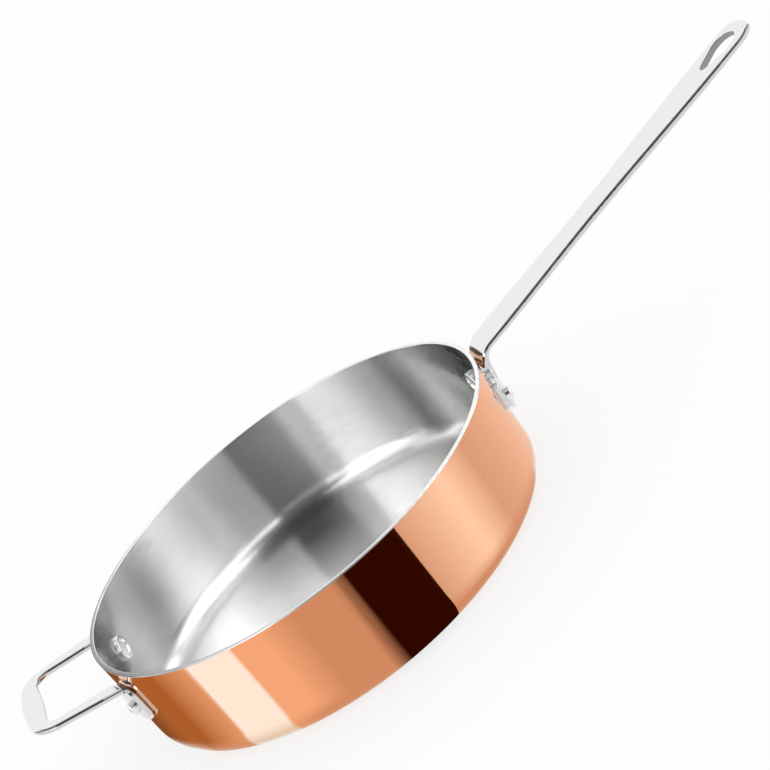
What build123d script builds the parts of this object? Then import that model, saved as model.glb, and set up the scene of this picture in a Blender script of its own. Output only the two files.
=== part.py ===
"""Saute pan: a clad copper body with a long steel handle and a steel helper handle.

The origin is the centre of the flat underside of the base. +Z is up and the long
handle runs out along +X, with the helper handle opposite. Sizes are in millimetres.
"""
from build123d import *
import os
from math import atan2, cos, radians, sin, sqrt, tan

# Pan body
rim_inner_diameter = 280.0     # across the cooking side at the rim
pan_height = 72.0              # underside of the base to the top of the rim
wall_draw_in = 1.9             # how much smaller the radius is at the base
outer_corner_radius = 15.3     # where the wall turns into the base
copper_thickness = 0.9         # outer skin
core_thickness = 1.5           # heat-spreading layer
lining_thickness = 0.5         # cooking surface
rim_lip_height = 0.7           # lining turned out over the edges of the other layers
rim_rounding = 0.45            # polished edges of the rim

# Blade of the long handle
handle_reach = 250.0           # wall at the rim to the tip, measured level
handle_rise_angle = 12.6       # slope of the blade, in degrees
handle_root_drop = 2.2         # its top face below the rim, carried back to the wall
handle_root_width = 30.0
handle_waist_width = 24.8
handle_end_width = 34.2
handle_thickness = 3.8         # at the root and the tip
handle_belly = 0.8             # extra at the middle, on the underside
handle_tip_radius = 15.0
handle_edge_rounding = 1.75
root_end_share = 0.07          # where the root stops being straight, along the blade
waist_share = 0.41
swell_share = 0.90

# Hanging hole, a teardrop with its narrow end toward the pan
hang_hole_width = 21.0
hang_hole_length = 29.5
hang_hole_narrow_radius = 4.3
hang_hole_margin = 9.5         # metal between the hole and the tip
hang_hole_rounding = 0.5

# Neck and flange of the long handle
neck_outer_radius = 18.0       # bend of the top face down to the wall
neck_inner_radius = 9.0
neck_corner_stand_off = 6.5    # underside from the wall, at the bend
neck_foot_stand_off = 3.9      # the same, where the neck fades into the flange
neck_foot_drop = 25.0
flange_width = 60.0
flange_top_drop = 10.0         # below the rim, beside the neck
flange_shoulder_drop = 19.0    # where the flare reaches the full width
flange_bottom_drop = 38.5
flange_middle_thickness = 5.4
flange_edge_thickness = 3.0
flange_corner_radius = 8.0
flange_rounding = 0.7

# Helper handle
helper_reach = 54.0            # wall at the rim to the outer edge of the bar, level
helper_rise_angle = 7.4        # in degrees
helper_root_drop = 8.2         # its top face below the rim, carried to the wall
helper_root_width = 102.6      # outside of the arms at the wall
helper_end_width = 85.0        # outside of the arms at the bar
helper_end_bow = 5.4           # how far the bar's outer edge curves out
helper_end_radius = 20.0
helper_gap_root_width = 73.0   # between the arms at the wall
helper_gap_end_width = 71.5
helper_gap_length = 42.2       # wall to the bar's inner corners
helper_gap_bow = 1.8           # the bar's inner edge bulges toward the pan
helper_gap_radius = 10.0
helper_thickness = 4.0
helper_rounding = 1.7
helper_bend_radius = 3.5       # outside of the bend from an arm to its foot

# Feet of the helper handle, one at each arm
foot_width = 24.0
foot_overhang = 3.7            # past the outside of the arm, at the wall
foot_top_drop = 11.0           # below the rim
foot_bottom_drop = 35.0
foot_thickness = 3.4
foot_corner_radius = 5.0
foot_rounding = 1.2

# Rivets
handle_rivet_side_margin = 6.0     # rivet's axis to the side of the flange
handle_rivet_low_margin = 10.3     # and to the flange's lower edge
helper_rivet_low_margin = 9.5      # rivet's axis to the lower edge of the foot
rivet_shank_diameter = 6.5
rivet_hole_clearance = 0.1     # on the radius
inner_head_diameter = 16.3
inner_head_height = 2.4
inner_head_rounding = 1.0
inner_head_ring_width = 2.6    # raised ring round the dished middle
inner_head_ring_rounding = 0.5
inner_head_dish_depth = 1.1
outer_head_diameter = 8.6
outer_head_height = 3.4
outer_head_rounding = 1.2
outer_head_dimple_diameter = 3.0
outer_head_dimple_depth = 0.5

overrun = 8.0                  # how far cutters and joined pieces reach past a face

# Sizes that follow from those above
wall_thickness = copper_thickness + core_thickness + lining_thickness
rim_radius = rim_inner_diameter / 2 + wall_thickness
base_radius = rim_radius - wall_draw_in
lip_underside = pan_height - rim_lip_height
foot_centre = helper_root_width / 2 + foot_overhang - foot_width / 2
handle_rivet_drop = flange_bottom_drop - handle_rivet_low_margin
helper_rivet_drop = foot_bottom_drop - helper_rivet_low_margin


def wall_radius(drop):
    """Outside radius of the wall at a depth below the rim."""
    return rim_radius - wall_draw_in * drop / pan_height


def filled_pan(inset):
    """The pan's outer shape, a given distance in from its outside, filled to the axis."""
    with BuildPart() as form:
        with BuildSketch(Plane.XZ):
            with BuildLine():
                outline = FilletPolyline(
                    (0, inset),
                    (base_radius - inset, inset),
                    (rim_radius - inset, pan_height),
                    radius=outer_corner_radius - inset,
                )
                Polyline(outline @ 1, (0, pan_height), (0, inset))
            make_face()
        revolve(axis=Axis.Z)
    return form.part


def rivet_planes(direction, drop, across):
    """Planes on the wall's outside at a pair of rivets, with normals away from the pan."""
    along = direction * sqrt(wall_radius(drop) ** 2 - across**2)
    return {
        name: Plane(
            origin=(along, side * across, pan_height - drop),
            x_dir=(0, 0, 1),
            z_dir=(along, side * across, 0),
        )
        for name, side in (("left", 1), ("right", -1))
    }


handle_rivet_planes = rivet_planes(1, handle_rivet_drop, flange_width / 2 - handle_rivet_side_margin)
helper_rivet_planes = rivet_planes(-1, helper_rivet_drop, foot_centre)


def drill_rivet_holes(*plane_sets):
    """Cut rivet holes through the piece that is being built."""
    for plane_set in plane_sets:
        for plane in plane_set.values():
            with BuildSketch(plane.offset(-overrun)) as hole:
                Circle(rivet_shank_diameter / 2 + rivet_hole_clearance)
            extrude(hole.sketch, amount=overrun * 2, mode=Mode.SUBTRACT)


# Pan body, three layers nested in one another
pan_form = filled_pan(0)
core_form = filled_pan(copper_thickness)
lining_form = filled_pan(copper_thickness + core_thickness)
hollow_form = filled_pan(wall_thickness)

with BuildPart() as copper_shell:
    add(pan_form)
    add(core_form, mode=Mode.SUBTRACT)
    split(bisect_by=Plane.XY.offset(lip_underside), keep=Keep.BOTTOM)
    drill_rivet_holes(handle_rivet_planes, helper_rivet_planes)
copper_shell.part.label = "copper_shell"

with BuildPart() as aluminium_core:
    add(core_form)
    add(lining_form, mode=Mode.SUBTRACT)
    split(bisect_by=Plane.XY.offset(lip_underside), keep=Keep.BOTTOM)
    drill_rivet_holes(handle_rivet_planes, helper_rivet_planes)
aluminium_core.part.label = "aluminium_core"

# The lining turns out at the top and covers the edges of the other two layers.
with BuildPart() as steel_lining:
    add(pan_form)
    split(bisect_by=Plane.XY.offset(lip_underside), keep=Keep.TOP)
    add(lining_form)
    add(hollow_form, mode=Mode.SUBTRACT)
    fillet(steel_lining.edges().filter_by(GeomType.CIRCLE).group_by(Axis.Z)[-1], radius=rim_rounding)
    drill_rivet_holes(handle_rivet_planes, helper_rivet_planes)
steel_lining.part.label = "steel_lining"

# Long handle. The blade's plane lies in its top face and starts on the wall.
rise = radians(handle_rise_angle)
blade_length = handle_reach / cos(rise)
blade_plane = Plane(
    origin=(rim_radius, 0, pan_height - handle_root_drop),
    x_dir=(cos(rise), 0, sin(rise)),
    z_dir=(-sin(rise), 0, cos(rise)),
)
blade_depth = handle_thickness / cos(rise)     # measured upright
hole_end = blade_length - hang_hole_margin
hole_wide_x = hole_end - hang_hole_width / 2
hole_narrow_x = hole_end - hang_hole_length + hang_hole_narrow_radius


def blade_top(x):
    """Height of the blade's top face at a distance from the pan's axis."""
    return pan_height - handle_root_drop + (x - rim_radius) * tan(rise)


# Side view of the blade, the bend of the neck and its foot on the wall
neck_back = sqrt(wall_radius(neck_foot_drop) ** 2 - (handle_root_width / 2) ** 2)
neck_corner = rim_radius + neck_corner_stand_off
neck_front = wall_radius(neck_foot_drop) + neck_foot_stand_off
neck_foot = pan_height - neck_foot_drop
side_end = rim_radius + handle_reach + overrun
belly = (neck_corner + side_end) / 2
inner_bend = (neck_corner, blade_top(neck_corner) - blade_depth)
outer_bend = (neck_back, blade_top(neck_back))
under_tip = (side_end, blade_top(side_end) - blade_depth)
under_belly = (belly, blade_top(belly) - blade_depth - handle_belly)

with BuildPart() as blade:
    with BuildSketch(Plane.XZ) as side_view:
        with BuildLine():
            Polyline(
                inner_bend,
                (neck_front, neck_foot),
                (neck_back, neck_foot),
                outer_bend,
                (side_end, blade_top(side_end)),
                under_tip,
            )
            ThreePointArc(under_tip, under_belly, inner_bend)
        make_face()
        fillet(side_view.vertices().sort_by_distance(outer_bend)[0], radius=neck_outer_radius)
        fillet(side_view.vertices().sort_by_distance(inner_bend)[0], radius=neck_inner_radius)
    extrude(amount=flange_width, both=True)
    # Top view, cut through the side view
    with BuildSketch(blade_plane) as top_view:
        with BuildLine():
            side = Spline(
                (blade_length * root_end_share, handle_root_width / 2),
                (blade_length * waist_share, handle_waist_width / 2),
                (blade_length * swell_share, handle_end_width / 2),
                tangents=((1, 0), (1, 0)),
            )
            Polyline(side @ 0, (-overrun * 2, handle_root_width / 2), (-overrun * 2, 0))
            Polyline(side @ 1, (blade_length, handle_end_width / 2), (blade_length, 0))
            mirror(about=Plane.XZ)
        make_face()
        tip_corners = top_view.vertices().group_by(Axis.X)[-1].sort_by(Axis.Y)
        fillet((tip_corners[0], tip_corners[-1]), radius=handle_tip_radius)
    extrude(amount=pan_height, both=True, mode=Mode.INTERSECT)
    upright = Axis(blade_plane.origin, blade_plane.z_dir)
    outline_edges = blade.edges().filter_by(upright, reverse=True)
    outline_edges = outline_edges.filter_by(Axis.X, reverse=True).filter_by(Axis.Y, reverse=True)
    fillet(outline_edges, radius=handle_edge_rounding)
    # Hanging hole
    with BuildSketch(blade_plane):
        with Locations((hole_wide_x, 0)):
            Circle(hang_hole_width / 2)
        with Locations((hole_narrow_x, 0)):
            Circle(hang_hole_narrow_radius)
        make_hull()
    extrude(amount=overrun, both=True, mode=Mode.SUBTRACT)
    fillet(blade.edges(Select.NEW).filter_by(upright, reverse=True), radius=hang_hole_rounding)

# The flange is a plate bent round the wall, thicker in the middle than at its edges.
flange_radius = wall_radius((flange_shoulder_drop + flange_bottom_drop) / 2)
flange_edge_angle = atan2(flange_width / 2, sqrt(flange_radius**2 - (flange_width / 2) ** 2))
crown_half_width = (flange_radius + flange_edge_thickness) * sin(flange_edge_angle)
crown_front = flange_radius + flange_middle_thickness
crown_rise = crown_front - (flange_radius + flange_edge_thickness) * cos(flange_edge_angle)
crown_radius = (crown_half_width**2 + crown_rise**2) / (2 * crown_rise)
crown_centre = crown_front - crown_radius

with BuildPart() as flange:
    with BuildSketch(Plane.YZ.offset(flange_radius * cos(flange_edge_angle) - overrun)) as flange_view:
        with BuildLine():
            flare = Spline(
                (handle_root_width / 2, pan_height - flange_top_drop),
                (flange_width / 2, pan_height - flange_shoulder_drop),
                tangents=((0, -1), (1, -1)),
            )
            Polyline(
                flare @ 1,
                (flange_width / 2, pan_height - flange_bottom_drop),
                (0, pan_height - flange_bottom_drop),
            )
            Line((0, pan_height - flange_top_drop), flare @ 0)
            mirror(about=Plane.YZ)
        make_face()
        low_corners = flange_view.vertices().group_by(Axis.Y)[0].sort_by(Axis.X)
        fillet((low_corners[0], low_corners[-1]), radius=flange_corner_radius)
    extrude(amount=flange_width)
    with BuildSketch(Plane.XY):
        with Locations((crown_centre, 0)):
            Circle(crown_radius)
    extrude(amount=pan_height, mode=Mode.INTERSECT)
    fillet(flange.faces().sort_by(Axis.X)[-1].edges(), radius=flange_rounding)

with BuildPart() as long_handle:
    add(blade.part)
    add(flange.part)
    add(pan_form, mode=Mode.SUBTRACT)
    solid_long_handle = long_handle.part
    drill_rivet_holes(handle_rivet_planes)
long_handle.part.label = "long_handle"

# Helper handle. Its plane lies in its top face and starts on the wall.
helper_rise = radians(helper_rise_angle)
helper_length = helper_reach / cos(helper_rise)
helper_plane = Plane(
    origin=(-rim_radius, 0, pan_height - helper_root_drop),
    x_dir=(-cos(helper_rise), 0, sin(helper_rise)),
    z_dir=(sin(helper_rise), 0, cos(helper_rise)),
)
arm_wall_x = sqrt(rim_radius**2 - (helper_root_width / 2) ** 2) - rim_radius
arm_start_x = arm_wall_x - overrun
bar_corner_x = helper_length - helper_end_bow
arm_taper = (helper_root_width - helper_end_width) / 2 / (bar_corner_x - arm_wall_x)

with BuildPart() as loop:
    with BuildSketch(helper_plane) as loop_view:
        with BuildLine():
            Polyline(
                (bar_corner_x, helper_end_width / 2),
                (arm_start_x, helper_root_width / 2 + overrun * arm_taper),
                (arm_start_x, helper_gap_root_width / 2),
                (helper_gap_length, helper_gap_end_width / 2),
            )
            mirror(about=Plane.XZ)
            ThreePointArc(
                (bar_corner_x, helper_end_width / 2),
                (helper_length, 0),
                (bar_corner_x, -helper_end_width / 2),
            )
            ThreePointArc(
                (helper_gap_length, helper_gap_end_width / 2),
                (helper_gap_length - helper_gap_bow, 0),
                (helper_gap_length, -helper_gap_end_width / 2),
            )
        make_face()
        for corner_x, corner_y, radius in (
            (bar_corner_x, helper_end_width / 2, helper_end_radius),
            (helper_gap_length, helper_gap_end_width / 2, helper_gap_radius),
        ):
            for side_y in (corner_y, -corner_y):
                fillet(loop_view.vertices().sort_by_distance((corner_x, side_y))[0], radius=radius)
    extrude(amount=-helper_thickness)
    upright = Axis(helper_plane.origin, helper_plane.z_dir)
    fillet(loop.edges().filter_by(upright, reverse=True), radius=helper_rounding)

with BuildPart() as feet:
    with BuildSketch(Plane.YZ.offset(-rim_radius - overrun)) as feet_view:
        for side in (1, -1):
            with Locations((side * foot_centre, pan_height - foot_top_drop)):
                Rectangle(foot_width, foot_bottom_drop - foot_top_drop, align=(Align.CENTER, Align.MAX))
        fillet(feet_view.vertices(), radius=foot_corner_radius)
    extrude(amount=rim_radius)
    add(filled_pan(-foot_thickness), mode=Mode.INTERSECT)
    add(pan_form, mode=Mode.SUBTRACT)
    foot_fronts = [foot.faces().sort_by(SortBy.AREA)[-1] for foot in feet.solids()]
    fillet([edge for front in foot_fronts for edge in front.edges()], radius=foot_rounding)


def bend_section(side):
    """Plane across the bend of an arm, with its origin where the top face meets the wall."""
    radius = wall_radius(helper_root_drop)
    corner_x = -sqrt(radius**2 - foot_centre**2)
    outward = Vector(corner_x, side * foot_centre, 0).normalized()
    top_height = pan_height - helper_root_drop - (corner_x + rim_radius) * tan(helper_rise)
    along = outward.cross(helper_plane.z_dir).normalized()
    return Plane(
        origin=(corner_x, side * foot_centre, top_height),
        x_dir=helper_plane.z_dir.cross(along),
        z_dir=along,
    )


with BuildPart() as helper_handle:
    add(loop.part)
    add(pan_form, mode=Mode.SUBTRACT)
    # The outside of each bend is cut round.
    for side in (1, -1):
        section = bend_section(side)
        fall = section.to_local_coords(section.origin - Vector(0, 0, overrun * 2))
        with BuildSketch(section) as rounded_corner:
            with BuildLine():
                Polyline((0, 0), (overrun * 2, 0), (fall.X, fall.Y), close=True)
            make_face()
            fillet(rounded_corner.vertices().sort_by_distance(section.origin)[0], radius=helper_bend_radius)
        with BuildSketch(section) as square_corner:
            Rectangle(helper_bend_radius * 2, helper_bend_radius * 2)
            add(rounded_corner.sketch, mode=Mode.SUBTRACT)
        extrude(square_corner.sketch, amount=foot_width, both=True, mode=Mode.SUBTRACT)
    add(feet.part)
    solid_helper_handle = helper_handle.part
    drill_rivet_holes(helper_rivet_planes)
helper_handle.part.label = "helper_handle"


def flange_thickness_at(plane):
    """Thickness of the flange along a rivet, from the wall to the crown."""
    sideways = crown_centre * plane.z_dir.X
    crown_reach = sideways + sqrt(sideways**2 - crown_centre**2 + crown_radius**2)
    return crown_reach - plane.origin.X / plane.z_dir.X


def make_rivet(plane, seat, holder):
    """A rivet through the wall and its holder, whose outer face is the seat's distance out."""
    section = Plane(origin=plane.origin, x_dir=plane.x_dir, z_dir=plane.x_dir.cross(plane.z_dir))
    axis = Axis(plane.origin, plane.z_dir)
    head_radius = inner_head_diameter / 2
    mid_wall = -wall_thickness / 2
    head_top = -wall_thickness - inner_head_height
    ring_inside = head_radius - inner_head_ring_width
    dish_floor = head_top + inner_head_dish_depth
    with BuildPart() as rivet:
        # Inner head, a low disc with a raised ring
        with BuildSketch(section) as inner_head:
            with BuildLine():
                Polyline(
                    (0, mid_wall),
                    (head_radius, mid_wall),
                    (head_radius, head_top),
                    (ring_inside, head_top),
                    (ring_inside - inner_head_dish_depth, dish_floor),
                    (0, dish_floor),
                    close=True,
                )
            make_face()
            fillet(
                inner_head.vertices().sort_by_distance((head_radius, head_top))[0],
                radius=inner_head_rounding,
            )
            fillet(
                inner_head.vertices().sort_by_distance((ring_inside, head_top))[0],
                radius=inner_head_ring_rounding,
            )
        revolve(axis=axis)
        # Outer head, a short stud with a small dimple in its end
        with BuildSketch(plane.offset(seat / 2)):
            Circle(outer_head_diameter / 2)
        extrude(amount=seat / 2 + outer_head_height)
        end_face = rivet.faces().sort_by(axis)[-1]
        fillet(end_face.edges(), radius=outer_head_rounding)
        with BuildSketch(plane.offset(seat + outer_head_height)) as dimple:
            Circle(outer_head_dimple_diameter / 2)
        extrude(amount=-outer_head_dimple_depth, mode=Mode.SUBTRACT)
        # Both heads are cut back to what they seat on, and the shank joins them.
        add(wall_form, mode=Mode.SUBTRACT)
        add(holder, mode=Mode.SUBTRACT)
        with BuildSketch(plane.offset(seat + outer_head_rounding)):
            Circle(rivet_shank_diameter / 2)
        extrude(amount=-(seat + outer_head_rounding + wall_thickness + inner_head_dish_depth))
    return rivet


wall_form = pan_form - hollow_form
rivets = []
for name, plane in handle_rivet_planes.items():
    rivets.append(make_rivet(plane, flange_thickness_at(plane), solid_long_handle))
    rivets[-1].part.label = f"handle_rivet_{name}"
for name, plane in helper_rivet_planes.items():
    rivets.append(make_rivet(plane, foot_thickness, solid_helper_handle))
    rivets[-1].part.label = f"helper_rivet_{name}"

os.makedirs("parts", exist_ok=True)
for piece in (copper_shell, aluminium_core, steel_lining, long_handle, helper_handle, *rivets):
    export_step(piece.part, f"parts/{piece.part.label}.step")
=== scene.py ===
"""Looks of the saute pan: finishes, studio light, floor and the camera of the photograph."""
from math import cos, radians, sin, sqrt, tau

import bpy
from mathutils import Matrix, Vector


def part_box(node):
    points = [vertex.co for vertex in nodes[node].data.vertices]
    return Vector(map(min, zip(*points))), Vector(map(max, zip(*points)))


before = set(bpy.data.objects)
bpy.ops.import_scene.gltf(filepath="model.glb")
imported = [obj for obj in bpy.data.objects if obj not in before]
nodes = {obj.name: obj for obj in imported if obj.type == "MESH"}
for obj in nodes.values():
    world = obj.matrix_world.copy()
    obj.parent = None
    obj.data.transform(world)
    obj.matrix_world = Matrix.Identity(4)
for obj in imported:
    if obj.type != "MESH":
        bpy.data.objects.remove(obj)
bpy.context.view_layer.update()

# The pan's sizes, read from the frame
shell_low, shell_high = (Vector(corner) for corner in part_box("copper_shell"))
wall_radius = (shell_high.x - shell_low.x) / 2
rim_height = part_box("steel_lining")[1][2]

# Camera, turned about the pan's axis and rolled as in the photograph. Lengths in this
# script are in metres, and the photograph's sizes in pixels.
VIEW_SIZE = 770
FOCAL_PIXELS = 2311.7
SENSOR_WIDTH = 36.0
VIEW_AZIMUTH = radians(-2.714)
VIEW_ELEVATION = radians(20.22)
VIEW_ROLL = radians(-38.01)
VIEW_DISTANCE = 1.3731
VIEW_RIGHT = 0.06219           # how far the camera is aside from the middle of the rim
VIEW_UP = 0.06905
VIEW_CLIP = 50.0


def add_node(material, kind, **settings):
    """A node with its settings; a setting that names a socket sets its value."""
    node = material.node_tree.nodes.new(kind)
    for key, value in settings.items():
        if key in node.inputs:
            node.inputs[key].default_value = value
        else:
            setattr(node, key, value)
    return node


def join(material, source, socket, target, into):
    """Links a node's output to another node's input."""
    material.node_tree.links.new(source.outputs[socket], target.inputs[into])


def dress(node_name, material):
    """Puts a material on a CAD node."""
    mesh = nodes[node_name].data
    mesh.materials.clear()
    mesh.materials.append(material)


def ring_coordinates(material):
    """Coordinates of a turned surface: distance from the axis, turn about it, height."""
    place = add_node(material, "ShaderNodeTexCoord")
    split = add_node(material, "ShaderNodeSeparateXYZ")
    join(material, place, "Object", split, 0)
    flat = add_node(material, "ShaderNodeVectorMath", operation="MULTIPLY")
    flat.inputs[1].default_value = (1, 1, 0)
    join(material, place, "Object", flat, 0)
    length = add_node(material, "ShaderNodeVectorMath", operation="LENGTH")
    join(material, flat, "Vector", length, 0)
    turn = add_node(material, "ShaderNodeMath", operation="ARCTAN2")
    join(material, split, "Y", turn, 0)
    join(material, split, "X", turn, 1)
    rings = add_node(material, "ShaderNodeCombineXYZ")
    join(material, length, "Value", rings, "X")
    join(material, turn, "Value", rings, "Y")
    join(material, split, "Z", rings, "Z")
    return rings, "Vector"


def object_coordinates(material):
    """Coordinates of a straight piece."""
    return add_node(material, "ShaderNodeTexCoord"), "Object"


# Grinding lines: how deep they are, where in their noise the two tints end, and the quarter
# turn that lays the shine across them
LINE_DEPTH = 0.0001
TINT_ENDS = (0.3, 0.7)
ACROSS_THE_LINES = 0.25


def scratches(material, shader, coordinates, scale, strength, roughness):
    """Fine grinding lines: they bump the surface and vary its roughness."""
    source, socket = coordinates
    stretch = add_node(material, "ShaderNodeMapping")
    stretch.inputs["Scale"].default_value = scale
    join(material, source, socket, stretch, "Vector")
    lines = add_node(material, "ShaderNodeTexNoise", Scale=1.0, Detail=4.0, Roughness=0.6)
    join(material, stretch, "Vector", lines, "Vector")
    bump = add_node(material, "ShaderNodeBump", Strength=strength, Distance=LINE_DEPTH)
    join(material, lines, "Fac", bump, "Height")
    join(material, bump, "Normal", shader, "Normal")
    rough = add_node(material, "ShaderNodeMapRange")
    rough.inputs["To Min"].default_value = roughness[0]
    rough.inputs["To Max"].default_value = roughness[1]
    join(material, lines, "Fac", rough, "Value")
    join(material, rough, "Result", shader, "Roughness")
    return lines


def tint(material, shader, lines, dark, light):
    """Colour that varies a little with the grinding lines."""
    ramp = add_node(material, "ShaderNodeValToRGB")
    ends = ramp.color_ramp.elements
    for end, position, colour in zip(ends, TINT_ENDS, (dark, light)):
        end.position = position
        end.color = (*colour, 1)
    join(material, lines, "Fac", ramp, "Fac")
    join(material, ramp, "Color", shader, "Base Color")


def ground_metal(name, coordinates, scale, strength, roughness, dark, light):
    """A new metal and its shader, with grinding lines along the coordinates of a surface."""
    material = bpy.data.materials.new(name)
    material.use_nodes = True
    shader = material.node_tree.nodes["Principled BSDF"]
    shader.inputs["Metallic"].default_value = 1.0
    lines = scratches(material, shader, coordinates(material), scale, strength, roughness)
    tint(material, shader, lines, dark, light)
    return material, shader


def circling(material, shader, amount):
    """Stretches the shine across grinding lines that circle the pan's axis."""
    tangent = add_node(material, "ShaderNodeTangent", direction_type="RADIAL", axis="Z")
    join(material, tangent, "Tangent", shader, "Tangent")
    shader.inputs["Anisotropic"].default_value = amount
    shader.inputs["Anisotropic Rotation"].default_value = ACROSS_THE_LINES


def within(material, source, socket, low, high):
    """One where a value lies between two limits, and zero elsewhere."""
    middle = (low + high) / 2
    inside = add_node(material, "ShaderNodeMath", operation="COMPARE")
    inside.inputs[1].default_value = middle
    inside.inputs[2].default_value = high - middle
    join(material, source, socket, inside, 0)
    return inside


def both(material, first, second):
    """One where two masks are one."""
    product = add_node(material, "ShaderNodeMath", operation="MULTIPLY")
    join(material, first, "Value", product, 0)
    join(material, second, "Value", product, 1)
    return product


def size_of(material, source, socket):
    """A value without its sign."""
    size = add_node(material, "ShaderNodeMath", operation="ABSOLUTE")
    join(material, source, socket, size, 0)
    return size


def split_vector(material, kind):
    """The three numbers of an object coordinate or a normal."""
    place = add_node(material, "ShaderNodeTexCoord")
    parts = add_node(material, "ShaderNodeSeparateXYZ")
    join(material, place, kind, parts, 0)
    return parts


# The colour sockets of a Mix node, which share their names with its other sockets
MIX_A = 6
MIX_B = 7
MIX_RESULT = 2


def darken(material, shader, mask, factor):
    """Multiplies the base colour where a mask is one."""
    paint = shader.inputs["Base Color"].links[0].from_socket
    shade = add_node(material, "ShaderNodeMix", data_type="RGBA", blend_type="MULTIPLY")
    shade.inputs[MIX_B].default_value = (factor, factor, factor, 1)
    join(material, mask, "Value", shade, 0)
    material.node_tree.links.new(paint, shade.inputs[MIX_A])
    join(material, shade, MIX_RESULT, shader, "Base Color")


def copper():
    """Mirror polish with the faintest lines round the pan."""
    material, shader = ground_metal(
        "polished_copper", ring_coordinates, scale=(900, 3, 900), strength=0.01,
        roughness=(0.04, 0.07), dark=(0.91, 0.495, 0.315), light=(0.925, 0.51, 0.328),
    )
    circling(material, shader, amount=0.5)
    return material


# The edge on top of the lining: how far down it reaches, and its shade
RIM_DEPTH = 0.0008
RIM_SHADE = 0.88


def lining_steel():
    """Steel brushed in circles, with a slightly darker edge on top."""
    material, shader = ground_metal(
        "brushed_lining", ring_coordinates, scale=(2500, 6, 2500), strength=0.1,
        roughness=(0.21, 0.235), dark=(0.5, 0.5, 0.495), light=(0.58, 0.58, 0.575),
    )
    circling(material, shader, amount=1.0)
    spot = split_vector(material, "Object")
    rim = within(material, spot, "Z", rim_height - RIM_DEPTH, rim_height + RIM_DEPTH)
    darken(material, shader, rim, RIM_SHADE)
    return material


# Painted shade on the handles goes by their normals: the upright sides, which hardly look up
# or down, get painted shade, and the rounded upper edges, which look sideways and up between
# the limits given, get a painted dark reflection
SIDE_TILT = 0.4
SIDE_PAINTED_SHADE = 0.76
EDGE_SIDEWAYS = (0.4, 0.95)
EDGE_UPWARD = (0.3, 0.93)
EDGE_PAINTED_DARK_REFLECTION = 0.25
EDGE_START = 0.006             # out from the wall, past the feet and the flange

# Where the hanging hole lies along the handle, back from the tip, its half width and the painted
# shade on its wall
HOLE_FROM_TIP = 0.0087
HOLE_LENGTH = 0.0302
HOLE_HALF_WIDTH = 0.0112
HOLE_PAINTED_SHADE = 0.45


def handle_steel():
    """Polished faces, with painted shade on the upright sides and on the hanging hole's wall, and a
    painted dark reflection on the rounded upper edges.
    """
    material, shader = ground_metal(
        "satin_handle_steel", object_coordinates, scale=(30, 2500, 2500), strength=0.02,
        roughness=(0.13, 0.18), dark=(0.82, 0.82, 0.82), light=(0.86, 0.86, 0.86),
    )
    facing = split_vector(material, "Normal")
    spot = split_vector(material, "Object")

    upright = within(material, facing, "Z", -SIDE_TILT, SIDE_TILT)
    # Painted shade: the upright sides are darkened by the way they face
    darken(material, shader, upright, SIDE_PAINTED_SHADE)

    sideways = within(material, size_of(material, facing, "Y"), "Value", *EDGE_SIDEWAYS)
    upward = within(material, facing, "Z", *EDGE_UPWARD)
    outside = add_node(material, "ShaderNodeMath", operation="GREATER_THAN")
    outside.inputs[1].default_value = wall_radius + EDGE_START
    join(material, size_of(material, spot, "X"), "Value", outside, 0)
    edge = both(material, both(material, sideways, upward), outside)
    # Painted dark reflection: the rounded upper edges are darkened where they would mirror dark
    darken(material, shader, edge, EDGE_PAINTED_DARK_REFLECTION)

    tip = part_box("long_handle")[1][0]
    along = within(material, spot, "X", tip - HOLE_FROM_TIP - HOLE_LENGTH, tip - HOLE_FROM_TIP)
    across = within(material, spot, "Y", -HOLE_HALF_WIDTH, HOLE_HALF_WIDTH)
    hole_wall = both(material, both(material, along, across), upright)
    # Painted shade on the inner wall of the hanging hole
    darken(material, shader, hole_wall, HOLE_PAINTED_SHADE)
    return material


def rivet_steel():
    """Polished heads with light marks from setting them."""
    return ground_metal(
        "polished_rivet_steel", object_coordinates, scale=(300, 300, 300), strength=0.08,
        roughness=(0.16, 0.26), dark=(0.76, 0.77, 0.77), light=(0.84, 0.85, 0.85),
    )[0]


def core_metal():
    """Bare metal between the skins, out of sight."""
    return ground_metal(
        "bare_core", ring_coordinates, scale=(400, 4, 400), strength=0.1,
        roughness=(0.35, 0.45), dark=(0.72, 0.73, 0.74), light=(0.78, 0.79, 0.80),
    )[0]


def stage_object(name, points, faces, material):
    """A piece of the studio, given by its points in metres and its faces."""
    mesh = bpy.data.meshes.new(name)
    mesh.from_pydata(points, [], faces)
    mesh.materials.append(material)
    panel = bpy.data.objects.new(name, mesh)
    bpy.context.scene.collection.objects.link(panel)
    return panel


# The floor is a disc round the pan's axis and a ring round that. The camera sees it as plain
# white with a share of paint, which takes the shadow.
FLOOR_REACH = 12.0
FLOOR_CORNERS = 48
FLOOR_PAINT = (0.95, 0.95, 0.95, 1)
WHITE_SHARE = 0.8
CARD_REACH = 0.42              # the disc's radius, which is as far as the cards below go


def floor_ring(reach):
    """Points of a circle on the floor round the pan's axis."""
    turns = [tau * n / FLOOR_CORNERS for n in range(FLOOR_CORNERS)]
    return [(reach * cos(turn), reach * sin(turn), 0) for turn in turns]


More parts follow.
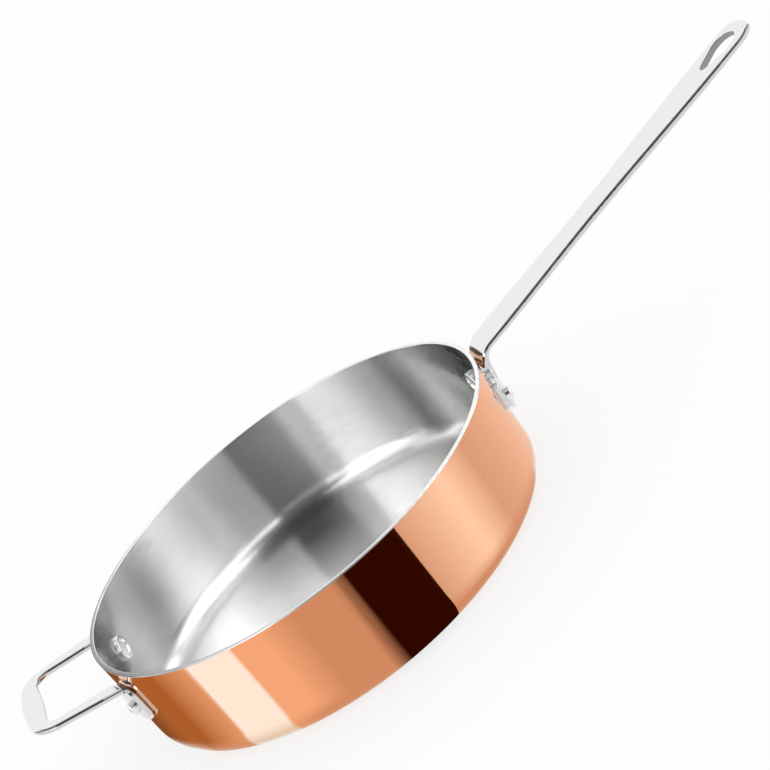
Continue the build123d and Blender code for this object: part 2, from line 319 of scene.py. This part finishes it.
def floor():
    """Pale floor. It takes the pan's shadow and looks white to the camera and in the metal.

    Returns its middle, which is a piece of its own so that the copper can go without its light.
    """
    material = bpy.data.materials.new("pale_floor")
    material.use_nodes = True
    tree = material.node_tree
    tree.nodes.clear()
    output = tree.nodes.new("ShaderNodeOutputMaterial")
    paint = add_node(material, "ShaderNodeBsdfDiffuse", Color=FLOOR_PAINT)
    white = add_node(material, "ShaderNodeEmission", Color=(1, 1, 1, 1), Strength=1.0)
    seen = add_node(material, "ShaderNodeLightPath")
    share = add_node(material, "ShaderNodeMath", operation="MULTIPLY_ADD")
    share.inputs[1].default_value = WHITE_SHARE
    join(material, seen, "Is Camera Ray", share, 0)
    join(material, seen, "Is Glossy Ray", share, 2)
    mix = add_node(material, "ShaderNodeMixShader")
    join(material, share, "Value", mix, 0)
    join(material, paint, "BSDF", mix, 1)
    join(material, white, "Emission", mix, 2)
    join(material, mix, "Shader", output, "Surface")
    material.cycles.emission_sampling = "NONE"
    points = floor_ring(CARD_REACH) + floor_ring(FLOOR_REACH)
    following = [(n + 1) % FLOOR_CORNERS for n in range(FLOOR_CORNERS)]
    around = [
        (n, n + FLOOR_CORNERS, after + FLOOR_CORNERS, after) for n, after in enumerate(following)
    ]
    stage_object("floor", points, around, material)
    return stage_object("floor_middle", floor_ring(CARD_REACH), [range(FLOOR_CORNERS)], material)


# Cards on the floor beside the pan, seen by the copper alone. Each lies where the wall
# mirrors it between two azimuths, and its tones run from one to the other.
CORNER_RADIUS = 0.0153         # of the round corner from the wall to the underside
CORNER_TILTS = (75.0, 60.0, 45.0, 30.0, 20.0, 10.0, 0.0)     # degrees below the wall's normal
FULL_TILT = 30.0               # from here down the corner has its own tone
CARD_HEIGHT = 0.0006
CARD_STEP = 2.0                # degrees of wall between two rungs of a card
AMBER = (0.1, 0.02, 0.0)
BRONZE = (0.25, 0.1, 0.03)
GOLD = (0.45, 0.2, 0.06)
ORANGE = (0.85, 0.6, 0.4)
CREAM = (1.1, 1.6, 2.0)
IVORY = (0.85, 1.05, 1.1)
PEACH = (1.0, 0.75, 0.57)
CLAY = (0.7, 0.5, 0.36)
NIGHT = (0.03, 0.005, 0.0)
ROSE = (0.78, 0.66, 0.58)
PEARL = (1.15, 1.2, 1.2)
PALE = (0.95, 0.8, 0.7)
CARDS = (
    # azimuth on the wall in degrees, the tone mirrored there and the one round the corner
    (-178.0, AMBER, GOLD),
    (-167.0, BRONZE, GOLD),
    (-163.0, BRONZE, IVORY),
    (-153.0, GOLD, IVORY),
    (-146.0, GOLD, CLAY),
    (-133.6, ORANGE, CLAY),
    (-132.2, CREAM, IVORY),
    (-120.3, CREAM, IVORY),
    (-119.0, PEACH, ORANGE),
    (-112.0, PEACH, CLAY),
    (-103.0, CLAY, CLAY),
    (-92.5, CLAY, CLAY),
    (-88.0, NIGHT, NIGHT),
    (-73.0, NIGHT, NIGHT),
    (-73.0, ROSE, CLAY),
    (-57.0, PEARL, CLAY),
    (-46.0, ROSE, CLAY),
    (-28.0, PALE, CLAY),
    (-24.0, PALE, IVORY),
    (-14.0, PALE, IVORY),
    (-6.0, PALE, PALE),
    (8.0, PALE, PALE),
    (14.0, GOLD, GOLD),
    (30.0, GOLD, GOLD),
    (36.0, CLAY, CLAY),
    (75.0, PEACH, PEACH),
    (105.0, CLAY, CLAY),
    (111.0, GOLD, GOLD),
    (140.0, GOLD, GOLD),
    (146.0, ORANGE, CLAY),
    (168.0, ROSE, GOLD),
    (180.0, ROSE, GOLD),
    (182.0, AMBER, GOLD),
)


def mirrored(azimuth, tilt, eye):
    """A point of the pan's outside, and the direction in which the camera sees on from it.

    The tilt is how far the surface has turned down round the corner. Where it has turned
    away from the camera, the line of sight goes straight on.
    """
    outward = Vector((cos(azimuth), sin(azimuth), 0))
    normal = outward * cos(tilt) - Vector((0, 0, sin(tilt)))
    spot = outward * (wall_radius - CORNER_RADIUS * (1 - cos(tilt)))
    spot.z = CORNER_RADIUS * (1 - sin(tilt))
    sight = (spot - eye).normalized()
    return spot, sight - normal * 2 * min(0, sight.dot(normal))


def card_line(azimuth, eye):
    """Floor points that the pan's outside mirrors at an azimuth, from its underside outwards.

    There is one for each of the corner's tilts. One more is where the line that the wall
    mirrors leaves the floor's middle.
    """
    line = []
    for tilt in CORNER_TILTS:
        spot, thrown = mirrored(azimuth, radians(tilt), eye)
        line.append(spot + thrown * (spot.z / -thrown.z))
    way = Vector((thrown.x, thrown.y, 0)).normalized()
    along = spot.xy.dot(way.xy)
    line.append(spot + way * (sqrt(along**2 + CARD_REACH**2 - spot.xy.length_squared) - along))
    return line


def glowing_tones():
    """Light from a panel in the tones that its corners carry, clear for what it isn't meant for."""
    material = bpy.data.materials.new("panel_tones")
    material.use_nodes = True
    tree = material.node_tree
    tree.nodes.clear()
    output = tree.nodes.new("ShaderNodeOutputMaterial")
    tone = add_node(material, "ShaderNodeAttribute", attribute_name="tone")
    light = add_node(material, "ShaderNodeEmission", Strength=1.0)
    join(material, tone, "Color", light, "Color")
    clear = add_node(material, "ShaderNodeBsdfTransparent")
    together = add_node(material, "ShaderNodeAddShader")
    join(material, light, "Emission", together, 0)
    join(material, clear, "BSDF", together, 1)
    join(material, together, "Shader", output, "Surface")
    material.cycles.emission_sampling = "NONE"
    return material


def blend(first, second, share):
    """A tone part of the way from one to another."""
    return tuple(a + (b - a) * share for a, b in zip(first, second))


def toned_strip(name, rungs, material):
    """A strip of panels. Each rung is a list of points across the strip, with their tones."""
    across = len(rungs[0])
    corners = [corner for rung in rungs for corner in rung]
    faces = [
        (n * across + k, n * across + k + 1, (n + 1) * across + k + 1, (n + 1) * across + k)
        for n in range(len(rungs) - 1)
        for k in range(across - 1)
    ]
    strip = stage_object(name, [point for point, _ in corners], faces, material)
    tones = strip.data.color_attributes.new("tone", "FLOAT_COLOR", "POINT")
    for data, (_, tone) in zip(tones.data, corners):
        data.color = (*tone, 1)
    strip.visible_camera = False
    strip.visible_diffuse = False
    strip.visible_shadow = False
    strip.visible_transmission = False
    return strip


def steps_between(start, end, step):
    """Shares from 0 to 1 that cut a range into steps of about one size."""
    count = max(1, round(abs(end - start) / step))
    return [n / count for n in range(count + 1)]


def floor_cards(eye, material):
    """A card for each pair of rows of the table, but none where two rows share an azimuth."""
    cards = []
    for number, (near, far) in enumerate(zip(CARDS, CARDS[1:])):
        start, first, corner_first = near
        end, last, corner_last = far
        if start == end:
            continue
        rungs = []
        for share in steps_between(start, end, CARD_STEP):
            tone = blend(first, last, share)
            corner_tone = blend(corner_first, corner_last, share)
            *corner_points, wall_point, edge_point = card_line(
                radians(start + (end - start) * share), eye
            )
            spots = [
                (point, blend(tone, corner_tone, min(1, tilt / FULL_TILT)))
                for point, tilt in zip(corner_points, CORNER_TILTS)
            ]
            spots += [(wall_point, tone), (edge_point, tone)]
            rungs.append([((p.x, p.y, CARD_HEIGHT), spot_tone) for p, spot_tone in spots])
        cards.append(toned_strip(f"card_{number}", rungs, material))
    return cards


# Light panels round the pan, seen only by the handles and the rivets
PANEL_DISTANCE = 5.0
PANEL_STEP = 5.0               # degrees
PANELS = (
    # azimuths and elevations in degrees, and the brightness at each azimuth
    (55.0, 120.0, 0.0, 54.0, 0.93, 0.93),
    (-185.0, 175.0, 58.0, 90.0, 0.55, 0.55),
    (120.0, 175.0, 0.0, 46.0, 0.93, 1.2),
    (-185.0, -124.0, 1.0, 46.0, 1.9, 2.2),
    (-124.0, -81.0, 1.0, 18.0, 0.7, 0.7),
    (-81.0, 5.0, 1.0, 50.0, 0.9, 2.0),
    (5.0, 55.0, 0.0, 46.0, 1.2, 0.93),
)

# Rings of light that only the lining sees: from and to an elevation, and the brightness by
# azimuth. All angles are in degrees.
LINING_LIGHT = (
    (0.0, 35.0, (
        (-180.0, 1.0), (-171.0, 1.8), (-159.0, 2.7), (-135.0, 4.8), (-129.0, 4.8), (-128.0, 2.3),
        (-117.0, 2.1), (-113.0, 0.5), (-99.0, 0.2), (-83.0, 0.2), (-81.0, 2.7), (-63.0, 2.5),
        (-39.0, 3.9), (-27.0, 5.2), (-15.0, 5.1), (9.0, 3.4), (21.0, 1.0), (27.0, 1.6),
        (31.0, 5.0), (36.0, 5.0), (45.0, 2.0), (55.0, 1.0), (60.0, 1.8), (96.0, 1.8),
        (98.0, 0.02), (148.0, 0.02), (151.0, 2.6), (157.0, 2.6), (160.0, 0.1), (170.0, 0.3),
        (180.0, 1.0),
    )),
    (35.0, 75.0, (
        (-180.0, 1.6), (-160.0, 2.6), (-136.0, 2.8), (-134.0, 0.1), (-80.0, 0.1), (-60.0, 0.2),
        (-45.0, 0.8), (-27.0, 2.8), (-10.0, 3.0), (15.0, 1.8), (25.0, 1.2),
    )),
    (35.0, 55.0, ((25.0, 1.2), (62.0, 2.0), (96.0, 2.0), (98.0, 0.3), (112.0, 1.8), (150.0, 1.8))),
    (35.0, 75.0, ((150.0, 0.9), (180.0, 1.6))),
)


def round_point(azimuth, elevation):
    """A point of the sphere of panels round the pan."""
    flat = PANEL_DISTANCE * cos(elevation)
    return (flat * cos(azimuth), flat * sin(azimuth), PANEL_DISTANCE * sin(elevation))


def light_panel(name, start, end, low, high, first, last, material):
    """Part of a ring of light, between two azimuths and two elevations."""
    rungs = []
    for share in steps_between(start, end, PANEL_STEP):
        azimuth = radians(start + (end - start) * share)
        tone = (first + (last - first) * share,) * 3
        rungs.append([
            (round_point(azimuth, radians(low + (high - low) * rise)), tone)
            for rise in steps_between(low, high, PANEL_STEP)
        ])
    return toned_strip(name, rungs, material)


def light_panels(material):
    """The light of the handles and the rivets."""
    return [light_panel(f"panel_{n}", *sizes, material) for n, sizes in enumerate(PANELS)]


def lining_panels(material):
    """The light of the lining, a panel for each pair of steps of a ring."""
    return [
        light_panel(f"lining_panel_{ring}_{n}", start, end, low, high, first, last, material)
        for ring, (low, high, steps) in enumerate(LINING_LIGHT)
        for n, ((start, first), (end, last)) in enumerate(zip(steps, steps[1:]))
    ]


def keep_light_to(name, pieces, node_names):
    """Lets only the named nodes see the light of some pieces of the studio."""
    owners = bpy.data.collections.new(name)
    for node_name in node_names:
        owners.objects.link(nodes[node_name])
    for piece in pieces:
        piece.light_linking.receiver_collection = owners


METAL_DARK = 0.06              # what metal mirrors where there is no panel


def studio_world():
    """White to the eye and on the floor, and nearly dark in the metal."""
    world = bpy.data.worlds.new("studio")
    bpy.context.scene.world = world
    world.use_nodes = True
    tree = world.node_tree
    background = tree.nodes["Background"]
    seen = tree.nodes.new("ShaderNodeLightPath")
    tone = tree.nodes.new("ShaderNodeMapRange")
    tone.inputs["To Min"].default_value = 1.0
    tone.inputs["To Max"].default_value = METAL_DARK
    tree.links.new(seen.outputs["Is Glossy Ray"], tone.inputs["Value"])
    tree.links.new(tone.outputs["Result"], background.inputs["Color"])
    background.inputs["Strength"].default_value = 1.0
    world.cycles.sampling_method = "NONE"


def camera():
    """The photograph's camera. Returns its place."""
    data = bpy.data.cameras.new("photo_camera")
    data.sensor_width = SENSOR_WIDTH
    data.lens = FOCAL_PIXELS / VIEW_SIZE * SENSOR_WIDTH
    data.clip_end = VIEW_CLIP
    back = Vector((
        sin(VIEW_AZIMUTH) * cos(VIEW_ELEVATION),
        -cos(VIEW_AZIMUTH) * cos(VIEW_ELEVATION),
        sin(VIEW_ELEVATION),
    ))
    level = Vector((cos(VIEW_AZIMUTH), sin(VIEW_AZIMUTH), 0))
    upward = back.cross(level)
    right = level * cos(VIEW_ROLL) + upward * sin(VIEW_ROLL)
    up = upward * cos(VIEW_ROLL) - level * sin(VIEW_ROLL)
    place = Vector((0, 0, rim_height)) + back * VIEW_DISTANCE + right * VIEW_RIGHT + up * VIEW_UP
    item = bpy.data.objects.new("photo_camera", data)
    item.matrix_world = Matrix.Translation(place) @ Matrix((right, up, back)).transposed().to_4x4()
    bpy.context.scene.collection.objects.link(item)
    bpy.context.scene.camera = item
    return place


dress("copper_shell", copper())
dress("steel_lining", lining_steel())
dress("aluminium_core", core_metal())
steel = handle_steel()
for name in ("long_handle", "helper_handle"):
    dress(name, steel)
polished = rivet_steel()
for name in nodes:
    if "rivet" in name:
        dress(name, polished)

eye = camera()
studio_world()
tones = glowing_tones()
keep_light_to("copper_sees", floor_cards(eye, tones), ["copper_shell"])
keep_light_to("all_but_copper_see", [floor()], [name for name in nodes if name != "copper_shell"])
keep_light_to("lining_sees", lining_panels(tones), ["steel_lining"])
fittings = [name for name in nodes if "handle" in name or "rivet" in name]
keep_light_to("fittings_see", light_panels(tones), fittings)
bpy.context.scene.view_settings.view_transform = "Standard"
